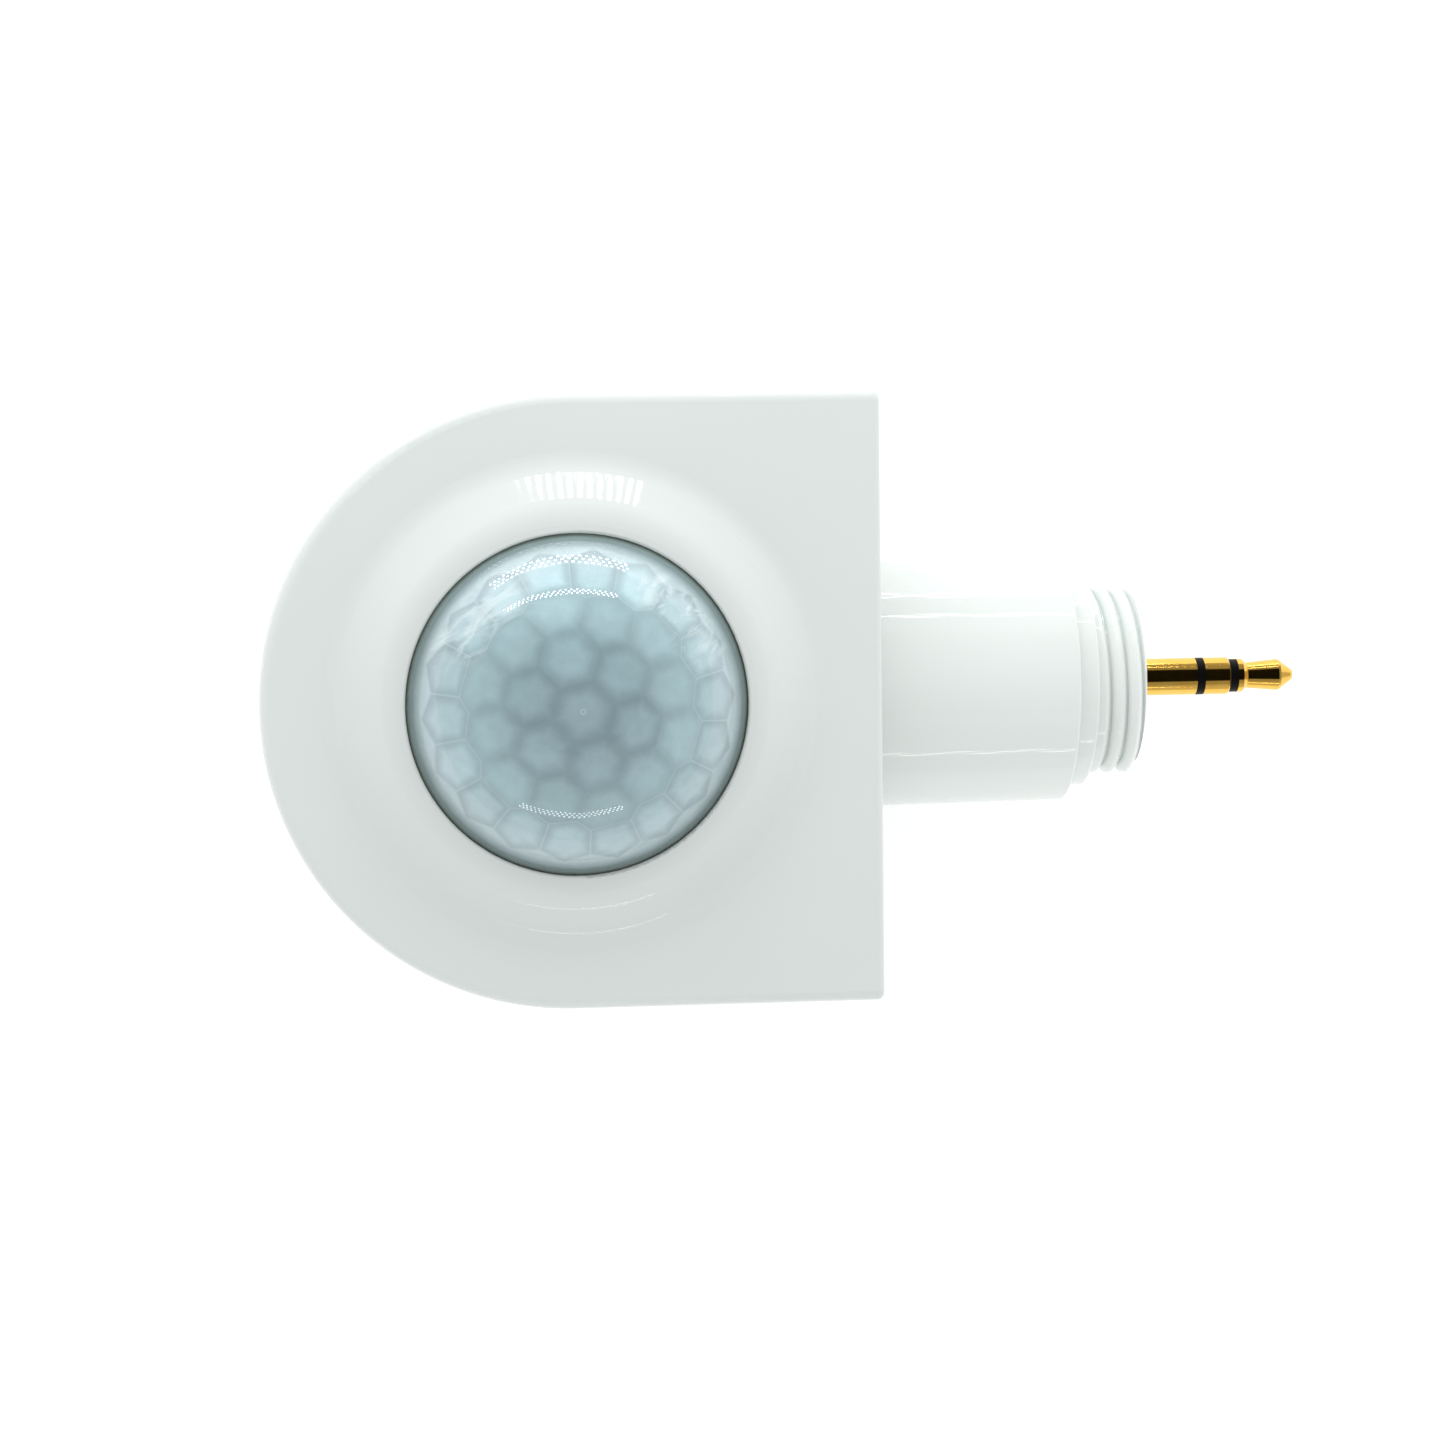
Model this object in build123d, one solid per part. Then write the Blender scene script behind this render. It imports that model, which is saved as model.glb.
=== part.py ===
from build123d import *
import os
from math import cos, radians, sin, sqrt, tan

# Plug-in motion sensor for a luminaire: a D-shaped head with a domed lens, and a threaded stem that ends
# in a 3.5 mm jack plug. The head turns about the stem between two stops, so that the lens can be aimed
# after the thread is screwed home. Millimetres. X runs along the stem towards the plug's tip and Z along
# the lens axis. The origin is on the stem axis, at the face of the locating step that seats on the
# luminaire, where the thread starts.

# Head shell
head_radius = 27.4          # half width of the D, and radius of its round end, at the back face
draft_deg = 0.7             # the walls lean in by this much towards the lens side
face_z = 19.0               # front face around the lens ring
back_z = -14.0
seam_z = -11.0              # lower edge of the front housing
seam_gap = 0.3              # shadow line between housing and cover
flat_x = -21.4              # flat side of the D, which the stem leaves
arc_x = -48.85              # centre of the round end
lens_x = -48.4              # lens axis
side_wall = 2.2
front_wall = 2.2
flat_wall = 2.5
face_edge = 1.0             # rounding of the front and back edges
flat_edge = 0.6             # rounding of the edges of the flat side

# Raised ring round the lens
ring_crown_r = 15.6         # the level crown ends here
ring_slope_start_r = 17.9   # the slope is straight between these two radii
ring_slope_end_r = 20.1
ring_foot_r = 21.9
ring_slope_deg = 34.0
ring_rounded_width = ring_slope_start_r - ring_crown_r + ring_foot_r - ring_slope_end_r
ring_height = (
    ring_rounded_width * tan(radians(ring_slope_deg / 2))
    + (ring_slope_end_r - ring_slope_start_r) * tan(radians(ring_slope_deg))
)
ring_top_z = face_z + ring_height
lens_hole_r = 14.85
lens_hole_edge = 0.25

# Lens, its seal and the ring that clamps it
lens_r = 14.7
lens_sphere_r = 17.1
lens_apex_z = 29.7
lens_wall = 0.8
flange_r = 17.4
flange_high_z = 16.1
flange_low_z = 15.1
retainer_r = 19.4
retainer_low_z = 12.9
stake_ring_r = 18.35        # circle of the heat stakes
stake_r = 0.7
stake_head_r = 1.2
stake_count = 4

# Screws and the columns that take them
board_post_ring_r = 22.0
board_post_r = 2.0
board_post_angles = [70, 180, 290]
board_screw_r = 0.95
cover_boss_r = 2.8
cover_screw_r = 1.25
cover_boss_ring_r = 22.9
cover_boss_top_z = 1.5
corner_boss_x = -27.0
corner_boss_y = 22.4
cover_head_r = 2.3
cover_head_sunk = 0.15      # the heads lie this far below the back face
counterbore_r = 2.6
counterbore_depth = 1.7
board_head_r = 1.7
board_head_high = 1.3

# Stem: barrel, locating step, thread and the neck that turns in the head
barrel_root_r = 11.55
barrel_end_r = 11.35
barrel_end_x = -2.0
step_r = 10.0
thread_crest_r = 8.9
thread_root_r = 8.1
thread_pitch = 1.5
thread_start_x = 0.25       # centre of the groove where it starts, at -Y
thread_half_turns = 8
thread_end_x = 4.72
stem_bore_r = 6.6
insert_bore_r = 7.0
insert_ledge_x = -6.0
neck_r = 7.5
neck_bore_r = 4.8
neck_clearance = 0.05
neck_small_r = 6.8
neck_flat = 6.2             # half distance between the two flats that key the stop washer
turning_gap = 0.25          # axial gap between the turning stem and the head
boss_r = 10.4
boss_x = -26.9
washer_thick = 1.0
washer_r = 8.8
tab_r = 10.3
tab_width = 2.8
clip_thick = 0.8
clip_r = 8.2
clip_groove_r = 6.1
neck_end_x = -30.0
o_ring_wire_r = 0.7
o_ring_x = -24.2

# Jack plug, 3.5 mm, three poles
plug_r = 1.75
plug_root_r = 1.95          # thicker root, moulded into the insert
plug_insert_end_x = 4.2
plug_shoulder_x = 5.9
shoulder_r = 3.0
sleeve_end_x = 11.06
ring_start_x = 11.84
ring_end_x = 14.31
tip_start_x = 15.08
tip_end_x = 20.45
insulator_front_r = 1.555
sleeve_bore_r = 1.4
anchor_r = 3.4              # flange of the sleeve, moulded into the insert
anchor_start_x = -0.7
anchor_end_x = 0.5
insert_hollow_r = 5.2
plug_tail_x = -3.0

# Circuit board and what stands on it
board_top_z = 4.0
board_thick = 1.6
board_r = 23.6
board_edge_x = -31.5
board_low_z = board_top_z - board_thick
can_low_z = 7.3
can_top_z = 12.0
can_r = 4.1
can_flange_r = 4.6
can_lead_ring_r = 2.54
window_half_x = 2.0
window_half_y = 1.5
wire_r = 0.5
wire_end_x = -9.3


def d_block(inset, flat_inset, low_z, high_z, top_edge=0.0, low_edge=0.0):
    """A drafted D-shaped block, set in from the outside of the head by the two insets."""
    radius = head_radius - inset - (low_z - back_z) * tan(radians(draft_deg))
    flat = flat_x - flat_inset
    beyond = flat + 10
    sides = Polyline((arc_x, -radius), (beyond, -radius), (beyond, radius), (arc_x, radius))
    round_end = ThreePointArc((arc_x, radius), (arc_x - radius, 0), (arc_x, -radius))
    outline = make_face([*sides.edges(), *round_end.edges()])
    block = extrude(Pos(0, 0, low_z) * outline, amount=high_z - low_z, taper=draft_deg)
    if top_edge:
        block = fillet(block.faces().sort_by(Axis.Z)[-1].edges(), top_edge)
    if low_edge:
        block = fillet(block.faces().sort_by(Axis.Z)[0].edges(), low_edge)
    length = 4 * head_radius
    return block & Pos(flat - length / 2, 0, 0) * Box(length, length, length)


def column(radius, x, y, low_z, high_z):
    """A round column between two heights."""
    return Pos(x, y, (low_z + high_z) / 2) * Cylinder(radius, high_z - low_z)


def round_bar(radius, start_x, end_x):
    """A round bar on the stem axis."""
    return Pos((start_x + end_x) / 2, 0, 0) * Rot(0, 90, 0) * Cylinder(radius, end_x - start_x)


def tube(outer_r, inner_r, start_x, end_x):
    """A round tube on the stem axis."""
    return round_bar(outer_r, start_x, end_x) - round_bar(inner_r, start_x - 1, end_x + 1)


def block_between(low, high):
    """A box between its lowest and highest corners."""
    size = [high[i] - low[i] for i in range(3)]
    middle = [(high[i] + low[i]) / 2 for i in range(3)]
    return Pos(*middle) * Box(*size)


def turned_on_lens(profile_edges):
    """A body turned about the lens axis from a closed profile of edges in (radius, height)."""
    return Pos(lens_x, 0, 0) * revolve(Plane.XZ * make_face(profile_edges), Axis.Z)


def turned_on_stem(points):
    """A body turned about the stem axis from a closed profile of (position, radius) points."""
    return revolve(make_face(Polyline(*points, close=True).edges()), Axis.X)


def ring_places(ring_r, angles, centre_x):
    """Points on a circle about the lens side's centre line."""
    return [(centre_x + ring_r * cos(radians(a)), ring_r * sin(radians(a))) for a in angles]


def board_post_places():
    """Centres of the three posts that carry the board."""
    return ring_places(board_post_ring_r, board_post_angles, arc_x)


def stake_places():
    """Centres of the heat stakes round the lens."""
    angles = [45 + i * 360 / stake_count for i in range(stake_count)]
    return ring_places(stake_ring_r, angles, lens_x)


def cover_boss_places():
    """Centres of the four cover bosses: two in the round end and one in each square corner."""
    round_side = ring_places(cover_boss_ring_r, [135, 225], arc_x)
    return round_side + [(corner_boss_x, corner_boss_y), (corner_boss_x, -corner_boss_y)]


def cross_recess(x, y, head_z, up, half_length, half_width, depth):
    """The cross slot of a screw head, sunk in from head_z against the direction up."""
    middle_z = head_z - up * depth / 2
    along = Pos(x, y, middle_z) * Box(2 * half_length, 2 * half_width, depth)
    across = Pos(x, y, middle_z) * Box(2 * half_width, 2 * half_length, depth)
    return along + across


def lens_ring():
    """The raised ring: level crown, straight slope, and soft curves between crown, slope and face."""
    slope = radians(ring_slope_deg)
    crown_arc_r = (ring_slope_start_r - ring_crown_r) / sin(slope)
    foot_arc_r = (ring_foot_r - ring_slope_end_r) / sin(slope)
    low_z = face_z - front_wall / 2
    inner_r = lens_hole_r - 0.5
    crown = (ring_crown_r, ring_top_z)
    crown_mid = (ring_crown_r + crown_arc_r * sin(slope / 2), ring_top_z - crown_arc_r * (1 - cos(slope / 2)))
    slope_start = (ring_slope_start_r, ring_top_z - crown_arc_r * (1 - cos(slope)))
    slope_end = (ring_slope_end_r, face_z + foot_arc_r * (1 - cos(slope)))
    foot_mid = (ring_foot_r - foot_arc_r * sin(slope / 2), face_z + foot_arc_r * (1 - cos(slope / 2)))
    foot = (ring_foot_r, face_z)
    return turned_on_lens([
        *Polyline(foot, (ring_foot_r, low_z), (inner_r, low_z), (inner_r, ring_top_z), crown).edges(),
        *ThreePointArc(crown, crown_mid, slope_start).edges(),
        *Line(slope_start, slope_end).edges(),
        *ThreePointArc(slope_end, foot_mid, foot).edges(),
    ])


def front_housing():
    """Moulded shell with the lens ring, board posts, heat stakes, cover bosses and the stem bearing."""
    shell = d_block(0, 0, seam_z, face_z, top_edge=face_edge)
    flat_face = shell.faces().sort_by(Axis.X)[-1]
    shell = fillet(flat_face.edges().filter_by(lambda e: e.center().Z > seam_z + 1), flat_edge)
    shell += lens_ring()
    shell -= column(lens_hole_r, lens_x, 0, 0, ring_top_z + 1)
    rim = shell.edges().filter_by(GeomType.CIRCLE).filter_by(lambda e: e.center().Z > ring_top_z - 0.01)
    shell = fillet(rim.filter_by(lambda e: abs(e.radius - lens_hole_r) < 0.01), lens_hole_edge)
    inner_top_z = face_z - front_wall
    shell -= d_block(side_wall, flat_wall, seam_z - 1, inner_top_z)
    for x, y in board_post_places():
        post = column(board_post_r, x, y, board_top_z, inner_top_z + 0.5)
        shell += post - column(board_screw_r, x, y, board_top_z - 1, board_top_z + 6.5)
    for x, y in stake_places():
        shell += column(stake_r, x, y, retainer_low_z, inner_top_z + 0.5)
        shell += column(stake_head_r, x, y, retainer_low_z - 0.6, retainer_low_z)
    for x, y in cover_boss_places():
        boss = column(cover_boss_r, x, y, seam_z, cover_boss_top_z)
        shell += boss - column(cover_screw_r + 0.02, x, y, seam_z - 1, seam_z + 7)
    shell += round_bar(boss_r, boss_x, flat_x - 1)
    stop_rib = block_between((boss_x - 1.5, -tab_width / 2, -tab_r), (boss_x + 0.5, tab_width / 2, -9.1))
    shell += stop_rib
    gasket_seat = d_block(1.1, 1.1, seam_z - 1, seam_z + 1.5)
    shell -= gasket_seat - d_block(2.2, 2.2, seam_z - 2, seam_z + 3)
    return shell - round_bar(neck_r + neck_clearance, boss_x - 1, flat_x + 1)


def rear_cover():
    """Flat cover with a locating lip and four counterbored screw holes."""
    plate_top_z = seam_z - seam_gap
    cover = d_block(0, 0, back_z, plate_top_z, low_edge=face_edge)
    flat_face = cover.faces().sort_by(Axis.X)[-1]
    cover = fillet(flat_face.edges().filter_by(lambda e: e.center().Z < plate_top_z - 0.5), flat_edge)
    lip = d_block(2.35, 2.65, plate_top_z - 0.1, seam_z + 2)
    lip -= d_block(3.55, 3.85, plate_top_z - 1, seam_z + 3)
    for x, y in cover_boss_places():
        lip -= column(cover_boss_r + 0.3, x, y, plate_top_z - 1, seam_z + 3)
    stem_gap = block_between((-33, -11.5, plate_top_z - 1), (flat_x, 11.5, seam_z + 3))
    cover += lip - stem_gap
    for x, y in cover_boss_places():
        cover -= column(counterbore_r, x, y, back_z - 1, back_z + counterbore_depth)
        cover -= column(cover_screw_r + 0.15, x, y, back_z - 1, seam_z)
    return cover


def cover_gasket():
    """Silicone seal squeezed between the cover and the housing."""
    low_z = seam_z - seam_gap
    return d_block(1.15, 1.15, low_z, seam_z + 1.45) - d_block(2.15, 2.15, low_z - 1, seam_z + 3)


def cover_screws():
    """Four pan-head tapping screws."""
    head_low_z = back_z + cover_head_sunk
    head_top_z = back_z + counterbore_depth
    screws = []
    for x, y in cover_boss_places():
        head = column(cover_head_r, x, y, head_low_z, head_top_z)
        head = fillet(head.faces().sort_by(Axis.Z)[0].edges(), 0.6)
        screw = head + column(cover_screw_r, x, y, head_top_z - 0.1, seam_z + 5.5)
        screws.append(screw - cross_recess(x, y, head_low_z, -1, 1.3, 0.3, 0.9))
    return Compound(children=screws)


def fresnel_lens():
    """Moulded polyethylene dome with a skirt and a clamping flange."""
    centre_z = lens_apex_z - lens_sphere_r
    inner_r = lens_r - lens_wall
    inner_sphere_r = lens_sphere_r - lens_wall
    skirt_top_z = centre_z + sqrt(lens_sphere_r**2 - lens_r**2)
    inner_top_z = centre_z + sqrt(inner_sphere_r**2 - inner_r**2)
    half_out = radians(45)
    outer_mid = (lens_sphere_r * cos(half_out + 0.5), centre_z + lens_sphere_r * sin(half_out + 0.5))
    inner_mid = (inner_sphere_r * cos(half_out + 0.5), centre_z + inner_sphere_r * sin(half_out + 0.5))
    apex = (0, lens_apex_z)
    inner_apex = (0, lens_apex_z - lens_wall)
    skirt = (lens_r, skirt_top_z)
    inner_skirt = (inner_r, inner_top_z)
    return turned_on_lens([
        *ThreePointArc(apex, outer_mid, skirt).edges(),
        *Polyline(skirt, (lens_r, flange_high_z), (flange_r, flange_high_z), (flange_r, flange_low_z),
                  (inner_r, flange_low_z), inner_skirt).edges(),
        *ThreePointArc(inner_skirt, inner_mid, inner_apex).edges(),
        *Line(inner_apex, apex).edges(),
    ])


def lens_seal():
    """Flat silicone ring between the lens flange and the housing."""
    low_z = flange_high_z
    high_z = face_z - front_wall
    return column(flange_r - 0.2, lens_x, 0, low_z, high_z) - column(15.4, lens_x, 0, low_z - 1, high_z + 1)


def lens_retainer():
    """Ring that clamps the lens, held by heat stakes on the housing."""
    ring = column(retainer_r, lens_x, 0, retainer_low_z, flange_low_z)
    ring -= column(lens_hole_r, lens_x, 0, retainer_low_z - 1, flange_low_z + 1)
    for x, y in stake_places():
        ring -= column(stake_r + 0.05, x, y, retainer_low_z - 1, flange_low_z + 1)
    return ring


def main_board():
    """Round circuit board with a straight edge towards the stem."""
    board = column(board_r, arc_x, 0, board_low_z, board_top_z)
    board -= block_between((board_edge_x, -30, 0), (0, 30, 10))
    for x, y in board_post_places():
        board -= column(1.15, x, y, 0, 10)
    for x, y in pir_lead_places():
        board -= column(0.3, x, y, 0, 10)
    return board


def board_screws():
    """Three small screws through the board into the housing's posts."""
    head_low_z = board_low_z - board_head_high
    screws = []
    for x, y in board_post_places():
        head = column(board_head_r, x, y, head_low_z, board_low_z)
        head = fillet(head.faces().sort_by(Axis.Z)[0].edges(), 0.4)
        screw = head + column(board_screw_r - 0.02, x, y, board_low_z - 0.1, board_top_z + 5)
        screws.append(screw - cross_recess(x, y, head_low_z, -1, 1.0, 0.22, 0.7))
    return Compound(children=screws)


def pir_lead_places():
    """The three leads of the infrared detector, at 0, 90 and 180 degrees on their circle."""
    return ring_places(can_lead_ring_r, [0, 90, 180], lens_x)


def pir_holder():
    """Spacer that sets the detector at the lens's focus."""
    holder = column(5.3, lens_x, 0, board_top_z, can_low_z)
    holder = fillet(holder.faces().sort_by(Axis.Z)[-1].edges(), 0.3)
    for x, y in pir_lead_places():
        holder -= column(0.3, x, y, 0, 10)
    return holder


def pir_can():
    """Metal can of the infrared detector, with its flange, tab and window opening."""
    can = column(can_flange_r, lens_x, 0, can_low_z, can_low_z + 0.5)
    can += column(can_r, lens_x, 0, can_low_z + 0.4, can_top_z)
    can = fillet(can.faces().sort_by(Axis.Z)[-1].edges(), 0.4)
    tab = block_between((can_r - 0.1, -0.4, can_low_z), (can_r + 1.1, 0.4, can_low_z + 0.5))
    tab = Pos(lens_x, 0, 0) * Rot(0, 0, 45) * tab
    opening_low = (lens_x - window_half_x, -window_half_y, can_top_z - 0.3)
    opening_high = (lens_x + window_half_x, window_half_y, can_top_z + 1)
    return can + tab - block_between(opening_low, opening_high)


def pir_window():
    """Silicon filter set into the can's top."""
    half_x = window_half_x - 0.02
    half_y = window_half_y - 0.02
    low = (lens_x - half_x, -half_y, can_top_z - 0.3)
    high = (lens_x + half_x, half_y, can_top_z - 0.02)
    return block_between(low, high)


def pir_leads():
    """Three wire leads from the can through the spacer and the board."""
    leads = []
    for x, y in pir_lead_places():
        leads.append(column(0.225, x, y, board_low_z - 1.0, can_low_z))
    return Compound(children=leads)


def light_sensor():
    """Daylight photodiode in a clear square package."""
    body = block_between((-39.5, 2.0, board_top_z), (-36.0, 4.8, board_top_z + 1.4))
    return body + column(1.1, -37.75, 3.4, board_top_z + 1.3, board_top_z + 1.9)


def status_led():
    """Small round indicator lamp with its collar."""
    lamp = column(1.5, -58.6, 3.4, board_top_z, board_top_z + 4.4)
    lamp = fillet(lamp.faces().sort_by(Axis.Z)[-1].edges(), 1.4)
    return lamp + column(1.9, -58.6, 3.4, board_top_z, board_top_z + 1.0)


def ir_receiver():
    """Receiver for the setting-up remote: a moulded block with a half-round lens."""
    body = block_between((-51.4, -12.6, board_top_z), (-45.4, -9.6, board_top_z + 6.9))
    eye = Pos(-48.4, -11.1, board_top_z + 4.6) * Sphere(2.4)
    eye &= block_between((-51, -11.5, board_top_z + 2), (-45, -8, board_top_z + 7.2))
    return body + eye


def gull_wing_chip(centre_x, centre_y, length, leads_per_side):
    """A small-outline chip on the underside of the board, with its formed leads."""
    half_width = 1.95
    height = 1.45
    low_z = board_low_z - 0.1 - height
    chip = block_between((centre_x - length / 2, centre_y - half_width, low_z),
                         (centre_x + length / 2, centre_y + half_width, board_low_z - 0.1))
    for i in range(leads_per_side):
        x = centre_x + (i - (leads_per_side - 1) / 2) * 1.27
        for side in (-1, 1):
            near = centre_y + side * half_width
            far = centre_y + side * (half_width + 0.5)
            toe = centre_y + side * (half_width + 1.05)
            arm_y = sorted((near - side * 0.1, far))
            leg_y = sorted((far - side * 0.2, far))
            toe_y = sorted((far - side * 0.1, toe))
            chip += block_between((x - 0.2, arm_y[0], low_z + 0.6), (x + 0.2, arm_y[1], low_z + 0.8))
            chip += block_between((x - 0.2, leg_y[0], low_z + 0.6), (x + 0.2, leg_y[1], board_low_z))
            chip += block_between((x - 0.2, toe_y[0], board_low_z - 0.2), (x + 0.2, toe_y[1], board_low_z))
    return chip


def microcontroller():
    """Fourteen-lead chip that times the light."""
    return gull_wing_chip(-52.0, 6.5, 8.65, 7)


def amplifier_chip():
    """Eight-lead chip that amplifies the detector's signal."""
    return gull_wing_chip(-54.0, -5.5, 4.9, 4)


def voltage_regulator():
    """Three-lead regulator with a wide heat tab."""
    body = block_between((-64.0, -3.2, board_low_z - 1.5), (-59.5, -0.7, board_low_z))
    for x in (-63.25, -61.75, -60.25):
        body += block_between((x - 0.2, -4.2, board_low_z - 0.4), (x + 0.2, -3.1, board_low_z))
    return body + block_between((-62.6, -0.8, board_low_z - 0.4), (-60.9, 0.6, board_low_z))


def electrolytic_capacitors():
    """Two can capacitors that stand on the underside of the board."""
    cans = []
    for x, y in [(-61.5, 8.5), (-43.5, -14.0)]:
        can = column(3.15, x, y, board_low_z - 7.5, board_low_z)
        groove = column(3.3, x, y, board_low_z - 1.6, board_low_z - 1.1)
        groove -= column(2.9, x, y, board_low_z - 1.7, board_low_z - 1.0)
        cans.append(fillet(can.faces().sort_by(Axis.Z)[0].edges(), 0.35) - groove)
    return Compound(children=cans)


def chip_components():
    """Ceramic chip resistors and capacitors in rows on the underside of the board."""
    chips = []
    for row_y, first_x, count in [(12.5, -55.0, 6), (-2.6, -50.5, 4), (-10.5, -60.0, 4)]:
        for i in range(count):
            x = first_x + i * 2.4
            chips.append(block_between((x, row_y, board_low_z - 0.5), (x + 0.85, row_y + 1.6, board_low_z)))
    return Compound(children=chips)


def wire_header():
    """Three-pin socket on the underside of the board, open towards the stem."""
    shell = block_between((-41.0, -4.0, -2.6), (-34.0, 4.0, board_low_z))
    shell -= block_between((-39.6, -3.3, -1.9), (-33.0, 3.3, 1.4))
    for y in (-2.0, 0.0, 2.0):
        shell += block_between((-40.0, y - 0.25, -0.5), (-36.4, y + 0.25, 0.0))
    return shell


def wire_plug():
    """Plug that carries the three wires into the socket."""
    plug = block_between((-36.2, -3.1, -1.7), (-32.6, 3.1, 1.2))
    for y in (-2.0, 0.0, 2.0):
        plug -= Pos(-34, y, -0.25) * Rot(0, 90, 0) * Cylinder(wire_r + 0.02, 8)
    return plug


def wire(start_y, end_y, end_z):
    """One insulated wire from the plug housing along the stem's bore to the jack's tails."""
    start_z = -0.25
    start = (-35.8, start_y, start_z)
    first = (-29.5, start_y, start_z)
    second = (-20.5, end_y, end_z)
    end = (wire_end_x, end_y, end_z)
    route = FilletPolyline(start, first, second, end, radius=15)
    section = Plane(origin=start, z_dir=(1, 0, 0)) * Circle(wire_r)
    return sweep(section, path=route)


def thread_groove():
    """Half a turn of the right-hand thread's groove, which leaves rounded crests, starting at +Y."""
    path = Helix(thread_pitch, thread_pitch / 2, thread_root_r, direction=(1, 0, 0))
    start = path @ 0
    radial = Vector(0, start.Y, start.Z).normalized()
    section_plane = Plane(origin=start, x_dir=(1, 0, 0), z_dir=Vector(1, 0, 0).cross(radial))
    depth = thread_crest_r - thread_root_r
    mouth = (thread_pitch / 2 - 0.09, depth + 0.03)
    flank = (0.29, 0.65 * depth)
    foot = (0.05, 0)
    section = make_face([
        *ThreePointArc(foot, flank, mouth).edges(),
        *Polyline(mouth, (mouth[0], 1.3), (-mouth[0], 1.3), (-mouth[0], mouth[1])).edges(),
        *ThreePointArc((-mouth[0], mouth[1]), (-flank[0], flank[1]), (-foot[0], 0)).edges(),
        *Line((-foot[0], 0), foot).edges(),
    ])
    start_turn = Vector(0, 1, 0).get_signed_angle(radial, Vector(1, 0, 0))
    return Rot(-start_turn, 0, 0) * sweep(section_plane * section, path=path, is_frenet=True)


def thread():
    """External M18 x 1.5 thread with a short lead-in, from the locating step to the stem's end."""
    bar = turned_on_stem([(0, 0), (0, thread_crest_r), (thread_end_x - 0.5, thread_crest_r),
                          (thread_end_x, thread_root_r + 0.15), (thread_end_x, 0)])
    groove = thread_groove()
    for i in range(thread_half_turns):
        bar -= Pos(thread_start_x + i * thread_pitch / 2, 0, 0) * Rot(180 * (i + 1), 0, 0) * groove
    return bar


def threaded_stem():
    """Moulded stem: drafted barrel, locating step, thread, and the neck with its grooves."""
    o_ring_low_r = neck_r - 2 * o_ring_wire_r
    barrel_start_x = flat_x + turning_gap
    shoulder_x = boss_x - 0.2
    groove_start_x = shoulder_x - washer_thick - 0.05
    stem = turned_on_stem([
        (neck_end_x, 0), (neck_end_x, neck_small_r), (shoulder_x, neck_small_r), (shoulder_x, neck_r),
        (o_ring_x - 0.95, neck_r), (o_ring_x - 0.95, o_ring_low_r), (o_ring_x + 0.95, o_ring_low_r),
        (o_ring_x + 0.95, neck_r), (barrel_start_x, neck_r), (barrel_start_x, barrel_root_r),
        (barrel_end_x, barrel_end_r), (barrel_end_x, step_r), (0, step_r), (0, 0),
    ])
    rims = stem.edges().filter_by(GeomType.CIRCLE).filter_by(lambda e: e.radius > step_r - 0.5)
    barrel_rim = rims.filter_by(lambda e: abs(e.center().X - barrel_end_x) < 0.01 and e.radius > step_r + 0.5)
    step_rim = rims.filter_by(lambda e: abs(e.center().X) < 0.01)
    root_rim = rims.filter_by(lambda e: abs(e.center().X - barrel_start_x) < 0.01)
    stem = fillet([*barrel_rim, *step_rim, *root_rim], 0.3)
    stem += thread()
    for side in (-1, 1):
        flat = block_between((neck_end_x - 1, neck_flat, -9), (shoulder_x, 9, 9))
        stem -= flat if side > 0 else mirror(flat, Plane.XZ)
    stem -= tube(neck_r, clip_groove_r, groove_start_x - clip_thick - 0.1, groove_start_x)
    stem -= round_bar(neck_bore_r, neck_end_x - 1, flat_x + 2)
    stem -= round_bar(stem_bore_r, flat_x + 1.9, insert_ledge_x + 0.1)
    return stem - round_bar(insert_bore_r, insert_ledge_x, thread_end_x + 1)


def stem_o_ring():
    """Rubber ring that seals the turning neck."""
    return Pos(o_ring_x, 0, 0) * Rot(0, 90, 0) * Torus(neck_r - o_ring_wire_r, o_ring_wire_r - 0.01)


def stop_washer():
    """Steel washer keyed to the neck, with the tab that meets the housing's stop."""
    end_x = boss_x - 0.2
    start_x = end_x - washer_thick
    washer = round_bar(washer_r, start_x, end_x)
    washer += block_between((start_x, -tab_width / 2, washer_r - 1), (end_x, tab_width / 2, tab_r))
    keyed = round_bar(neck_small_r + 0.05, start_x - 1, end_x + 1)
    keyed &= block_between((start_x - 2, -neck_flat - 0.05, -9), (end_x + 2, neck_flat + 0.05, 9))
    return washer - keyed


def retaining_clip():
    """Spring clip in the neck's groove that keeps the stem in the head."""
    end_x = boss_x - 0.2 - washer_thick - 0.1
    clip = tube(clip_r, clip_groove_r + 0.05, end_x - clip_thick, end_x)
    return clip - block_between((end_x - 2, -3.2, -clip_r - 1), (end_x + 1, 3.2, 0))


def plug_insert():
    """Moulded disc that closes the stem and holds the jack plug in a short round boss."""
    bore_r = plug_root_r + 0.02
    return turned_on_stem([
        (insert_ledge_x, insert_bore_r - 0.02), (plug_insert_end_x - 0.3, insert_bore_r - 0.02),
        (plug_insert_end_x, insert_bore_r - 0.32), (plug_insert_end_x, shoulder_r),
        (plug_shoulder_x - 0.3, shoulder_r), (plug_shoulder_x, shoulder_r - 0.3),
        (plug_shoulder_x, bore_r), (anchor_end_x + 0.02, bore_r), (anchor_end_x + 0.02, anchor_r + 0.02),
        (anchor_start_x - 0.02, anchor_r + 0.02), (anchor_start_x - 0.02, insert_hollow_r),
        (insert_ledge_x, insert_hollow_r),
    ])


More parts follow.
